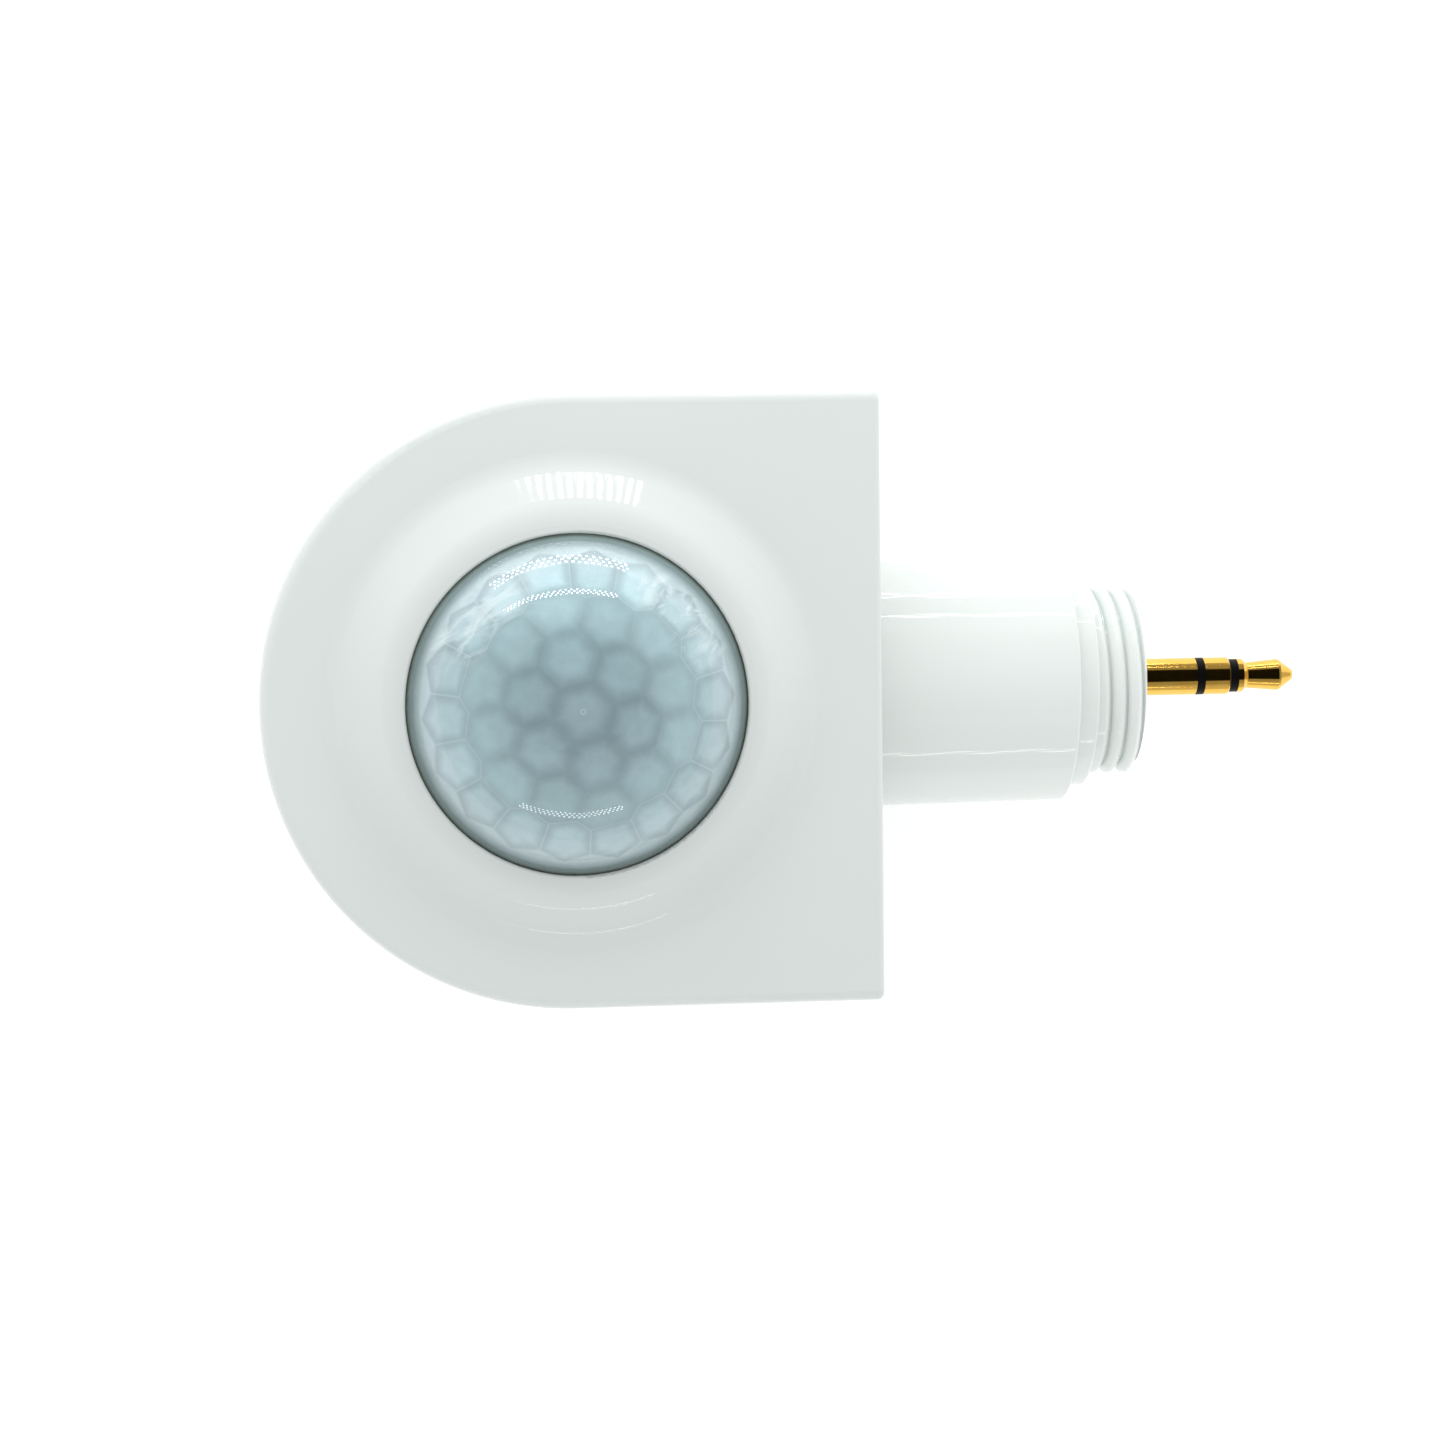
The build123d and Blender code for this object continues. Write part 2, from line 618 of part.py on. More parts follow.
def plug_sleeve():
    """Gold-plated sleeve of the jack, with the flange that anchors it."""
    return turned_on_stem([
        (anchor_start_x, sleeve_bore_r), (anchor_start_x, anchor_r), (anchor_end_x, anchor_r),
        (anchor_end_x, plug_root_r), (plug_shoulder_x, plug_root_r), (plug_shoulder_x, plug_r),
        (sleeve_end_x, plug_r), (sleeve_end_x, sleeve_bore_r),
    ])


def plug_insulator_rear():
    """Black insulator between sleeve and ring."""
    return turned_on_stem([(-1.2, 1.1), (-1.2, 1.38), (sleeve_end_x, 1.38), (sleeve_end_x, plug_r),
                           (ring_start_x, plug_r), (ring_start_x, 1.1)])


def plug_ring():
    """Gold-plated middle pole, bevelled at its front edge."""
    return turned_on_stem([(-2.0, 0.78), (-2.0, 1.08), (ring_start_x, 1.08), (ring_start_x, plug_r),
                           (ring_end_x - 0.18, plug_r), (ring_end_x, plug_r - 0.18), (ring_end_x, 0.78)])


def plug_insulator_front():
    """Black insulator between ring and tip."""
    return turned_on_stem([(-2.5, 0.48), (-2.5, 0.76), (ring_end_x, 0.76), (ring_end_x, insulator_front_r),
                           (tip_start_x, insulator_front_r), (tip_start_x, 0.48)])


def plug_tip():
    """Gold-plated tip: collar, neck, swelling and blunt point."""
    neck_x = tip_start_x + 0.94
    swell_x = neck_x + 2.95
    return turned_on_stem([
        (plug_tail_x, 0), (plug_tail_x, 0.46), (tip_start_x, 0.46), (tip_start_x, 1.585),
        (tip_start_x + 0.5, 1.585), (neck_x, 1.21), (swell_x - 0.25, 1.46), (swell_x, 1.485),
        (swell_x + 0.2, 1.43), (tip_end_x - 0.22, 0.66), (tip_end_x, 0.465), (tip_end_x, 0),
    ])


def tail_sleeve():
    """Shrunk sleeving over the joints between the wires and the jack's tails."""
    return tube(2.2, 1.7, wire_end_x + 0.3, -1.3) + tube(2.2, 0.2, wire_end_x + 0.3, plug_tail_x - 0.1)


parts = {
    "front_housing": front_housing(),
    "rear_cover": rear_cover(),
    "cover_gasket": cover_gasket(),
    "cover_screws": cover_screws(),
    "fresnel_lens": fresnel_lens(),
    "lens_seal": lens_seal(),
    "lens_retainer": lens_retainer(),
    "main_board": main_board(),
    "board_screws": board_screws(),
    "pir_holder": pir_holder(),
    "pir_can": pir_can(),
    "pir_window": pir_window(),
    "pir_leads": pir_leads(),
    "light_sensor": light_sensor(),
    "status_led": status_led(),
    "ir_receiver": ir_receiver(),
    "microcontroller": microcontroller(),
    "amplifier_chip": amplifier_chip(),
    "voltage_regulator": voltage_regulator(),
    "electrolytic_capacitors": electrolytic_capacitors(),
    "chip_components": chip_components(),
    "wire_header": wire_header(),
    "wire_plug": wire_plug(),
    "wire_tip": wire(0.0, 0.0, 0.62),
    "wire_ring": wire(2.0, 0.54, -0.31),
    "wire_sleeve": wire(-2.0, -0.54, -0.31),
    "threaded_stem": threaded_stem(),
    "stem_o_ring": stem_o_ring(),
    "stop_washer": stop_washer(),
    "retaining_clip": retaining_clip(),
    "plug_insert": plug_insert(),
    "plug_sleeve": plug_sleeve(),
    "plug_insulator_rear": plug_insulator_rear(),
    "plug_ring": plug_ring(),
    "plug_insulator_front": plug_insulator_front(),
    "plug_tip": plug_tip(),
    "tail_sleeve": tail_sleeve(),
}

for name, part in parts.items():
    export_step(part, f"parts/{name}.step")
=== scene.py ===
import random
from math import acos, atan2, cos, exp, pi, radians, sin, sqrt

import bmesh
import bpy
from mathutils import Matrix, Vector


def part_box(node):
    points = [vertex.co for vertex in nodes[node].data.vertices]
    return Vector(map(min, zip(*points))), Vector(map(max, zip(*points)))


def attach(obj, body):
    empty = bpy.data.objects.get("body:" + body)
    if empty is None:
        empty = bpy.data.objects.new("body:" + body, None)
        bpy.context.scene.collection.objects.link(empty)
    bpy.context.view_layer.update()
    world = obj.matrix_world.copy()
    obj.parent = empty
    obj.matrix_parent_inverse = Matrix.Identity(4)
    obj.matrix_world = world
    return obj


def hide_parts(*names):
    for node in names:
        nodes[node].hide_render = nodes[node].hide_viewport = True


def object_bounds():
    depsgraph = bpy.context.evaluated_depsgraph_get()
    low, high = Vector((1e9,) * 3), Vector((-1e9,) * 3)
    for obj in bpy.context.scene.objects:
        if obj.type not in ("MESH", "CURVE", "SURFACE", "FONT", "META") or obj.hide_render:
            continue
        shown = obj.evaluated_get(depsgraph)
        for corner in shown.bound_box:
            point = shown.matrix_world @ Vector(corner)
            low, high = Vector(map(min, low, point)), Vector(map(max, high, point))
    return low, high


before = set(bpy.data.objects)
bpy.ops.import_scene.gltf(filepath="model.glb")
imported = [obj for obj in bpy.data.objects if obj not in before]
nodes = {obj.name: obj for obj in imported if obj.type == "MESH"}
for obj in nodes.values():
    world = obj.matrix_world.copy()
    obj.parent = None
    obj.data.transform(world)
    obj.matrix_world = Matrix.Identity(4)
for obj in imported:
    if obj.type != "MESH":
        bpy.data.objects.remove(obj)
cad_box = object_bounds()


# Front housing
# One injection moulding in glossy white ABS: a D-shaped shell with a raised ring round the lens. ABS comes
# out of a polished tool with a hard gloss, a faint orange peel and now and then a dark speck in the resin.

mm = 0.001


def linear(hex_colour):
    """sRGB hex to the linear RGBA that shaders take."""
    channels = [int(hex_colour[i:i + 2], 16) / 255 for i in (1, 3, 5)]
    return [c / 12.92 if c <= 0.04045 else ((c + 0.055) / 1.055) ** 2.4 for c in channels] + [1.0]


def add(tree, kind, settings=(), **inputs):
    """Adds a node. Settings are its own attributes; inputs are values or the outputs that feed them, and
    an input called i and a number is the one in that place."""
    made = tree.nodes.new(kind)
    for name, value in dict(settings).items():
        setattr(made, name, value)
    for name, value in inputs.items():
        by_place = name[0] == "i" and name[1:].isdigit()
        socket = made.inputs[int(name[1:]) if by_place else name.replace("_", " ")]
        if isinstance(value, bpy.types.NodeSocket):
            tree.links.new(value, socket)
        else:
            socket.default_value = value
    return made


def new_finish(name):
    """An empty material with its node tree and output."""
    finish = bpy.data.materials.new(name)
    finish.use_nodes = True
    finish.node_tree.nodes.clear()
    return finish, finish.node_tree


def set_stops(ramp, stops):
    """Gives a colour ramp its stops, each a position and a hex colour."""
    elements = ramp.color_ramp.elements
    while len(elements) > len(stops):
        elements.remove(elements[-1])
    while len(elements) < len(stops):
        elements.new(1.0)
    for element, (position, colour) in zip(elements, stops):
        element.position = position
        element.color = linear(colour)


def give(finish, *names):
    """Puts a finish on CAD nodes, in every slot that they have."""
    for name in names:
        piece = nodes[name]
        if not piece.material_slots:
            piece.data.materials.append(finish)
        for slot in piece.material_slots:
            slot.material = finish


def moulded_abs(name, light, dark):
    """Hard gloss with slight wear, slow drifts of tone, a faint orange peel and a few dark specks."""
    drift_mm = 22
    speck_spacing_mm = 9
    speck_radius = 0.011        # as a share of the spacing: 0.1 mm
    speck_chance = 0.3
    peel_mm = 1.4
    wear_mm = 5
    finish, tree = new_finish(name)
    place = add(tree, "ShaderNodeTexCoord").outputs["Object"]
    drift = add(tree, "ShaderNodeTexNoise", Vector=place, Scale=1 / (drift_mm * mm), Detail=3.0,
                Roughness=0.5)
    tone = add(tree, "ShaderNodeMix", {"data_type": "RGBA"}, Factor=drift.outputs["Fac"], i6=linear(light),
               i7=linear(dark))
    specks = add(tree, "ShaderNodeTexVoronoi", Vector=place, Scale=1 / (speck_spacing_mm * mm))
    inside = add(tree, "ShaderNodeMath", {"operation": "LESS_THAN"}, i0=specks.outputs["Distance"],
                 i1=speck_radius)
    lot = add(tree, "ShaderNodeSeparateColor", Color=specks.outputs["Color"])
    chosen = add(tree, "ShaderNodeMath", {"operation": "LESS_THAN"}, i0=lot.outputs["Red"], i1=speck_chance)
    speck = add(tree, "ShaderNodeMath", {"operation": "MULTIPLY"}, i0=inside.outputs[0],
                i1=chosen.outputs[0])
    colour = add(tree, "ShaderNodeMix", {"data_type": "RGBA"}, Factor=speck.outputs[0], i6=tone.outputs[2],
                 i7=linear("#8f948c"))
    peel = add(tree, "ShaderNodeTexNoise", Vector=place, Scale=1 / (peel_mm * mm), Detail=2.0)
    bump = add(tree, "ShaderNodeBump", Strength=0.02, Distance=0.06 * mm, Height=peel.outputs["Fac"])
    wear = add(tree, "ShaderNodeTexNoise", Vector=place, Scale=1 / (wear_mm * mm), Detail=5.0, Roughness=0.6)
    gloss = add(tree, "ShaderNodeMapRange", Value=wear.outputs["Fac"], To_Min=0.035, To_Max=0.065)
    shader = add(tree, "ShaderNodeBsdfPrincipled", Base_Color=colour.outputs[2], IOR=1.53,
                 Roughness=gloss.outputs["Result"], Normal=bump.outputs["Normal"])
    add(tree, "ShaderNodeOutputMaterial", Surface=shader.outputs["BSDF"])
    return finish


shell_abs = moulded_abs("moulded_abs_shell", "#dee4e2", "#d9dfdd")
give(shell_abs, "front_housing")


# Rear cover, gasket and cover screws
# The cover is the same ABS, closed against a grey silicone cord by four zinc-plated pan-head screws. The
# lens seal is of the same silicone, and the board's own screws are plated the same way.

give(shell_abs, "rear_cover")


def dimmed(hex_colour, share):
    """A linear colour at a share of its brightness."""
    return [c * share for c in linear(hex_colour)[:3]] + [1.0]


def soft_rubber(name, colour):
    """Matt and slightly mottled, as rubber is once dust sits in its skin."""
    dust_mm = 0.9
    finish, tree = new_finish(name)
    place = add(tree, "ShaderNodeTexCoord").outputs["Object"]
    dust = add(tree, "ShaderNodeTexNoise", Vector=place, Scale=1 / (dust_mm * mm), Detail=4.0)
    tone = add(tree, "ShaderNodeMix", {"data_type": "RGBA"}, Factor=dust.outputs["Fac"], i6=linear(colour),
               i7=dimmed(colour, 0.8))
    bump = add(tree, "ShaderNodeBump", Strength=0.1, Distance=0.05 * mm, Height=dust.outputs["Fac"])
    shader = add(tree, "ShaderNodeBsdfPrincipled", Base_Color=tone.outputs[2], IOR=1.42, Roughness=0.45,
                 Normal=bump.outputs["Normal"])
    add(tree, "ShaderNodeOutputMaterial", Surface=shader.outputs["BSDF"])
    return finish


give(soft_rubber("moulded_silicone_grey", "#8b8f86"), "cover_gasket", "lens_seal")


def bright_metal(name, colour, roughness, grain_mm):
    """Plated, tinned, drawn or rolled metal: a clear reflection that clouds over in patches of a grain."""
    finish, tree = new_finish(name)
    place = add(tree, "ShaderNodeTexCoord").outputs["Object"]
    cloud = add(tree, "ShaderNodeTexNoise", Vector=place, Scale=1 / (grain_mm * mm), Detail=6.0,
                Roughness=0.65)
    tone = add(tree, "ShaderNodeMix", {"data_type": "RGBA"}, Factor=cloud.outputs["Fac"], i6=linear(colour),
               i7=dimmed(colour, 0.78))
    rough = add(tree, "ShaderNodeMapRange", Value=cloud.outputs["Fac"], To_Min=roughness,
                To_Max=roughness + 0.15)
    bump = add(tree, "ShaderNodeBump", Strength=0.15, Distance=0.02 * mm, Height=cloud.outputs["Fac"])
    shader = add(tree, "ShaderNodeBsdfPrincipled", Base_Color=tone.outputs[2], Metallic=1.0,
                 Roughness=rough.outputs["Result"], Normal=bump.outputs["Normal"])
    add(tree, "ShaderNodeOutputMaterial", Surface=shader.outputs["BSDF"])
    return finish


give(bright_metal("zinc_plated_steel", "#b9bab8", 0.22, 0.6), "cover_screws", "board_screws")


# Lens
# A dome moulded in milky high-density polyethylene: smooth and glossy outside, with a honeycomb of flat
# Fresnel facets that gather heat rays onto the detector. It clamps behind the ring by a flange.

lens_low, lens_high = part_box("fresnel_lens")
lens_x = (lens_low.x + lens_high.x) / 2
sphere_r = 17.1 * mm
centre = Vector((lens_x, 0.0, lens_high.z - sphere_r))
dome_r = sphere_r - 0.05 * mm
rim_r = 14.82 * mm
skin = 0.8 * mm
facet_turn = 43.5           # degrees from +X to the first corner of the honeycomb
corner_tilts = [0.0, 16.2, 30.8, 43.6]      # degrees from the axis to each row's corner facets
between_tilts = [0.0, 16.2, 27.1, 43.2]     # and to the facets between them
hidden_tilt = 57.5          # and to the row that is blended into the smooth rim
facets_end = radians(51.0)
rim_start = radians(54.5)
half_facet = radians(8.9)
facet_height = dome_r * cos(half_facet)
edge_rounding = 0.035 * mm
rim_tilt = acos(sqrt(1 - (rim_r / dome_r) ** 2))


def direction(tilt, turn):
    """Unit vector at a tilt from the lens axis and a turn about it, both in degrees."""
    tilt, turn = radians(tilt), radians(turn)
    return Vector((sin(tilt) * cos(turn), sin(tilt) * sin(turn), cos(tilt)))


def facet_directions():
    """Honeycomb rows of 1, 6, 12 and 18 facets, then a row of 18 that the smooth rim swallows."""
    found = [(Vector((0, 0, 1)), 0)]
    for row in (1, 2, 3):
        for i in range(6 * row):
            tilt = corner_tilts[row] if i % row == 0 else between_tilts[row]
            found.append((direction(tilt, facet_turn + i * 60 / row), row))
    hidden = [direction(hidden_tilt, facet_turn + (i + 0.5) * 20) for i in range(18)]
    return [way for way, row in found], [row for way, row in found], hidden


facets, facet_row_of, hidden_facets = facet_directions()


def soft_step(low, high, value):
    """Rises smoothly from 0 to 1 as the value goes from low to high."""
    t = min(max((value - low) / (high - low), 0.0), 1.0)
    return t * t * (3 - 2 * t)


def dome_point(way):
    """The point of the outer surface in a direction: flat facets with slightly rounded edges."""
    far_side = 0.2          # a facet turned further away than this cosine is never the nearest
    nearest = sorted(facet_height / max(way.dot(f), far_side) for f in facets + hidden_facets)[:3]
    pull = sum(exp(-(n - nearest[0]) / edge_rounding) for n in nearest[1:])
    reach = nearest[0] - edge_rounding * pull / 2
    blend = soft_step(facets_end, rim_start, acos(min(way.z, 1.0)))
    return centre + way * (reach * (1 - blend) + dome_r * blend)


def facet_cells():
    """Corner directions of each visible facet, in order, from the hull of all the facet directions."""
    every = facets + hidden_facets
    hull = bmesh.new()
    verts = [hull.verts.new(f) for f in every + [Vector((0, 0, -1))]]
    hull.verts.index_update()
    bmesh.ops.convex_hull(hull, input=verts)
    hull.faces.ensure_lookup_table()
    bmesh.ops.triangulate(hull, faces=hull.faces[:])
    cells = []
    for number, seed in enumerate(facets):
        corners = []
        for face in verts[number].link_faces:
            a, b, c = (v.co for v in face.verts)
            middle = (b - a).cross(c - a).normalized()
            corners.append(middle if middle.z > 0 else -middle)
        side = seed.orthogonal().normalized()
        other = seed.cross(side)
        corners.sort(key=lambda w: atan2(w.dot(other), w.dot(side)))
        cells.append((seed, facet_row_of[number], corners))
    hull.free()
    return cells


def lens_mesh():
    """The dome facet by facet, the smooth rim, the skirt with its flange, and the inner surface."""
    steps = [0.22, 0.42, 0.6, 0.74, 0.84, 0.91, 0.955, 0.98, 1.0]       # from a facet's middle to its edge
    splits = 6              # of each side of a facet
    rim_rings = 9
    inner_rings = 12
    flange_thickness = 1.0 * mm
    flange_chamfer = 0.15 * mm
    skirt_foot = 0.3 * mm
    skirt_shoulder = 0.5 * mm
    shape = bmesh.new()
    edge_mark = shape.verts.layers.float.new("facet_edge")
    row_mark = shape.faces.layers.float.new("facet_row")
    tone_mark = shape.faces.layers.float.new("facet_tone")
    moulding = random.Random(7)
    for seed, facet_row, corners in facet_cells():
        tone = moulding.uniform(-1.0, 1.0)
        edge_ways = []
        for i, corner in enumerate(corners):
            following = corners[(i + 1) % len(corners)]
            for j in range(splits):
                edge_ways.append(corner.lerp(following, j / splits).normalized())
        rows = []
        for t in steps:
            row = []
            for way in edge_ways:
                vert = shape.verts.new(dome_point(seed.lerp(way, t).normalized()))
                vert[edge_mark] = t
                row.append(vert)
            rows.append(row)
        middle = shape.verts.new(dome_point(seed))
        for i in range(len(edge_ways)):
            j = (i + 1) % len(edge_ways)
            made = [shape.faces.new((middle, rows[0][i], rows[0][j]))]
            for inner, outer in zip(rows, rows[1:]):
                made.append(shape.faces.new((inner[i], outer[i], outer[j], inner[j])))
            for face in made:
                face[row_mark] = facet_row / 4
                face[tone_mark] = tone
    bmesh.ops.remove_doubles(shape, verts=shape.verts[:], dist=0.002 * mm)
    boundary = [e for e in shape.edges if e.is_boundary]
    previous = sorted({v for e in boundary for v in e.verts}, key=lambda v: atan2(v.co.y, v.co.x - lens_x))
    skirt_top = centre.z + sqrt(dome_r**2 - rim_r**2)
    inner_sphere = sphere_r - skin
    inner_rim = rim_r - skin
    inner_top = centre.z + sqrt(inner_sphere**2 - inner_rim**2)
    flange_r = (lens_high.x - lens_low.x) / 2
    flange_top = lens_low.z + flange_thickness
    profile = [
        (rim_r, skirt_top),
        (rim_r, skirt_top - skirt_shoulder),
        (rim_r, flange_top + skirt_foot),
        (rim_r + skirt_foot, flange_top),
        (flange_r - flange_chamfer, flange_top),
        (flange_r, flange_top - flange_chamfer),
        (flange_r, lens_low.z + flange_chamfer),
        (flange_r - flange_chamfer, lens_low.z),
        (inner_rim, lens_low.z),
        (inner_rim, inner_top),
    ]
    inner_tilt = acos((inner_top - centre.z) / inner_sphere)
    for i in range(1, inner_rings):
        tilt = inner_tilt * (1 - i / inner_rings)
        profile.append((inner_sphere * sin(tilt), centre.z + inner_sphere * cos(tilt)))

    def join(upper, lower):
        """Faces between two rings of points."""
        for i in range(len(upper)):
            j = (i + 1) % len(upper)
            shape.faces.new((upper[i], lower[i], lower[j], upper[j]))[row_mark] = 1.0

    start_ways = [(v.co - centre).normalized() for v in previous]
    turns = [atan2(way.y, way.x) for way in start_ways]
    for ring in range(1, rim_rings + 1):
        row = []
        for way, turn in zip(start_ways, turns):
            tilt = acos(way.z) + (rim_tilt - acos(way.z)) * ring / rim_rings
            lowered = Vector((sin(tilt) * cos(turn), sin(tilt) * sin(turn), cos(tilt)))
            row.append(shape.verts.new(dome_point(lowered)))
        join(previous, row)
        previous = row
    for radius, z in profile:
        row = [shape.verts.new((lens_x + radius * cos(turn), radius * sin(turn), z)) for turn in turns]
        join(previous, row)
        previous = row
    apex = shape.verts.new((lens_x, 0, centre.z + inner_sphere))
    for i in range(len(previous)):
        shape.faces.new((previous[i], apex, previous[(i + 1) % len(previous)]))
    bmesh.ops.remove_doubles(shape, verts=shape.verts[:], dist=0.001 * mm)
    bmesh.ops.recalc_face_normals(shape, faces=shape.faces[:])
    mesh = bpy.data.meshes.new("honeycomb_lens")
    shape.to_mesh(mesh)
    shape.free()
    for polygon in mesh.polygons:
        polygon.use_smooth = True
    return mesh


def milky_polyethylene():
    """Polyethylene lets light in and scatters it, and here that is painted into the colour of an opaque body:
    painted shade greys the facets over the dark detector, the outer ones are painted paler as if lit, and
    pale streaks on the side toward the lamps are painted reflections. A clear coat over it takes the smooth
    sphere's direction, so that reflections run across the facets unbroken."""
    milk_mm = 1.6
    reflection_streak_mm = (5.0, 1.8, 3.0)
    reflection_streak_turn = radians(35)
    multiply = {"operation": "MULTIPLY"}
    finish, tree = new_finish("moulded_polyethylene_lens")
    place = add(tree, "ShaderNodeTexCoord").outputs["Object"]
    from_centre = add(tree, "ShaderNodeVectorMath", {"operation": "SUBTRACT"}, i0=place, i1=centre).outputs[0]
    way = add(tree, "ShaderNodeVectorMath", {"operation": "NORMALIZE"}, i0=from_centre).outputs[0]
    parts = add(tree, "ShaderNodeSeparateXYZ", Vector=way)
    # How far a point faces +Y, toward the lamps: it paints the lit side paler and places the painted
    # reflections.
    toward_lit_side = parts.outputs["Y"]
    sideways = add(tree, "ShaderNodeMath", {"operation": "ABSOLUTE"}, i0=parts.outputs["X"]).outputs[0]
    tilt = add(tree, "ShaderNodeMath", {"operation": "ARCCOSINE"}, i0=parts.outputs["Z"]).outputs[0]
    share = add(tree, "ShaderNodeMath", {"operation": "DIVIDE"}, i0=tilt, i1=rim_tilt).outputs[0]
    flat = add(tree, "ShaderNodeVectorMath", {"operation": "MULTIPLY"}, i0=from_centre, i1=(1, 1, 0))
    radius = add(tree, "ShaderNodeVectorMath", {"operation": "LENGTH"}, i0=flat.outputs[0]).outputs["Value"]
    edge = add(tree, "ShaderNodeAttribute", {"attribute_name": "facet_edge"}).outputs["Fac"]
    row = add(tree, "ShaderNodeAttribute", {"attribute_name": "facet_row"}).outputs["Fac"]
    tone = add(tree, "ShaderNodeAttribute", {"attribute_name": "facet_tone"}).outputs["Fac"]
    milk = add(tree, "ShaderNodeTexNoise", Vector=place, Scale=1 / (milk_mm * mm), Detail=6.0,
               Roughness=0.65).outputs["Fac"]
    # Noise stretched into streaks: painted reflections of the lamps on the +Y side.
    stretched = add(tree, "ShaderNodeMapping", {"vector_type": "TEXTURE"}, Vector=from_centre,
                    Rotation=(0, 0, reflection_streak_turn), Scale=[length * mm for length in reflection_streak_mm])
    painted_reflection_streaks = add(tree, "ShaderNodeTexNoise", Vector=stretched.outputs[0], Scale=1.0, Detail=4.0,
               Roughness=0.55, Distortion=1.6).outputs["Fac"]
    own_spread = 0.06
    own_level = add(tree, "ShaderNodeMath", {"operation": "MULTIPLY_ADD"}, i0=tone, i1=own_spread,
                    i2=1.0).outputs[0]

    def product_of(ramps, product=None):
        """Each ramp follows a value smoothly from low to high, and goes from start to end."""
        for follows, low, high, start, end in ramps:
            ramp = add(tree, "ShaderNodeMapRange", {"interpolation_type": "SMOOTHSTEP"}, Value=follows,
                       From_Min=low, From_Max=high, To_Min=start, To_Max=end).outputs["Result"]
            if product is None:
                product = ramp
            else:
                product = add(tree, "ShaderNodeMath", multiply, i0=product, i1=ramp).outputs[0]
        return product

    # Tone from the axis out to the rim: painted shade greys the middle over the dark detector and darkens the
    # band next to the rim, where the ring shades it. Then clouds, painted light on the lit +Y side, and the
    # outer row painted paler as if lit.
    tone_with_painted_shade = add(tree, "ShaderNodeValToRGB", Fac=share)
    set_stops(tone_with_painted_shade, [
        (0.0, "#96adb4"), (0.30, "#96b0b7"), (0.55, "#9fbcc2"), (0.73, "#a4bcc2"), (0.82, "#a7bcc2"),
        (0.87, "#a0b2b6"), (0.90, "#889b9f"), (0.94, "#6c7d80"), (0.965, "#788a89"), (1.0, "#98a59c"),
    ])
    level = product_of([
        (milk, 0.3, 0.7, 0.95, 1.05),
        (toward_lit_side, 0.25, 0.72, 1.0, 1.22),
        (row, 0.6, 0.75, 1.0, 1.12),
    ], own_level)
    body = add(tree, "ShaderNodeVectorMath", {"operation": "SCALE"}, i0=tone_with_painted_shade.outputs["Color"], Scale=level)

    # Painted shade in soft dark grooves along the facet edges, painted highlights on the crests round the
    # outer row and painted shade at its feet, pale streaks of painted reflection, and the gate's ring.
    layers = [
        ("#586a71", [(edge, 0.42, 1.0, 0.0, 1.0), (share, 0.2, 0.68, 0.36, 0.18)]),
        ("#cfe0e3", [(edge, 0.94, 0.99, 0.0, 1.0), (row, 0.55, 0.75, 0.0, 0.38)]),
        ("#7d959c", [(edge, 0.55, 0.93, 0.0, 1.0), (row, 0.6, 0.75, 0.0, 0.28), (row, 0.8, 0.9, 1.0, 0.0)]),
        ("#e4f1f3", [(painted_reflection_streaks, 0.44, 0.66, 0.0, 0.5), (toward_lit_side, 0.12, 0.4, 0.0, 1.0),
                     (sideways, 0.18, 0.4, 0.0, 1.0), (share, 0.5, 0.68, 0.0, 1.0),
                     (share, 0.82, 0.92, 1.0, 0.0)]),
        ("#c4d6da", [(radius, 0.10 * mm, 0.18 * mm, 0.0, 0.35), (radius, 0.22 * mm, 0.32 * mm, 1.0, 0.0)]),
    ]
    painted = body.outputs[0]
    for colour, ramps in layers:
        painted = add(tree, "ShaderNodeMix", {"data_type": "RGBA"}, Factor=product_of(ramps), i6=painted,
                      i7=linear(colour)).outputs[2]

    bump = add(tree, "ShaderNodeBump", Strength=0.06, Distance=0.02 * mm, Height=milk)
    shader = add(tree, "ShaderNodeBsdfPrincipled", Base_Color=painted, Roughness=0.45, IOR=1.3,
                 Normal=bump.outputs["Normal"], Coat_Weight=1.0, Coat_Roughness=0.0, Coat_IOR=1.7,
                 Coat_Normal=way)
    add(tree, "ShaderNodeOutputMaterial", Surface=shader.outputs["BSDF"])
    return finish


lens = bpy.data.objects.new("honeycomb_lens", lens_mesh())
bpy.context.scene.collection.objects.link(lens)
lens.data.materials.append(milky_polyethylene())
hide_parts("fresnel_lens")
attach(lens, "head")


# Clamping ring, detector spacer, wire socket and plug
# Natural nylon mouldings: an off-white, faintly translucent plastic with a dull skin.

def light_moulding(name, colour, roughness=0.5):
    """Nylon, diffused or clear epoxy, or fired ceramic: a fine grain a little darker than the base."""
    grain_mm = 0.5
    finish, tree = new_finish(name)
    place = add(tree, "ShaderNodeTexCoord").outputs["Object"]
    grain = add(tree, "ShaderNodeTexNoise", Vector=place, Scale=1 / (grain_mm * mm), Detail=4.0)
    tone = add(tree, "ShaderNodeMix", {"data_type": "RGBA"}, Factor=grain.outputs["Fac"], i6=linear(colour),
               i7=dimmed(colour, 0.88))
    bump = add(tree, "ShaderNodeBump", Strength=0.15, Distance=0.03 * mm, Height=grain.outputs["Fac"])
    shader = add(tree, "ShaderNodeBsdfPrincipled", Base_Color=tone.outputs[2], IOR=1.53,
                 Roughness=roughness, Normal=bump.outputs["Normal"])
    add(tree, "ShaderNodeOutputMaterial", Surface=shader.outputs["BSDF"])
    return finish


nylon = light_moulding("natural_nylon", "#d9d5c6")
give(nylon, "lens_retainer", "pir_holder", "wire_header", "wire_plug")


# Circuit board
# Glass-epoxy laminate under green solder mask, with etched tracks that show as lighter lines.

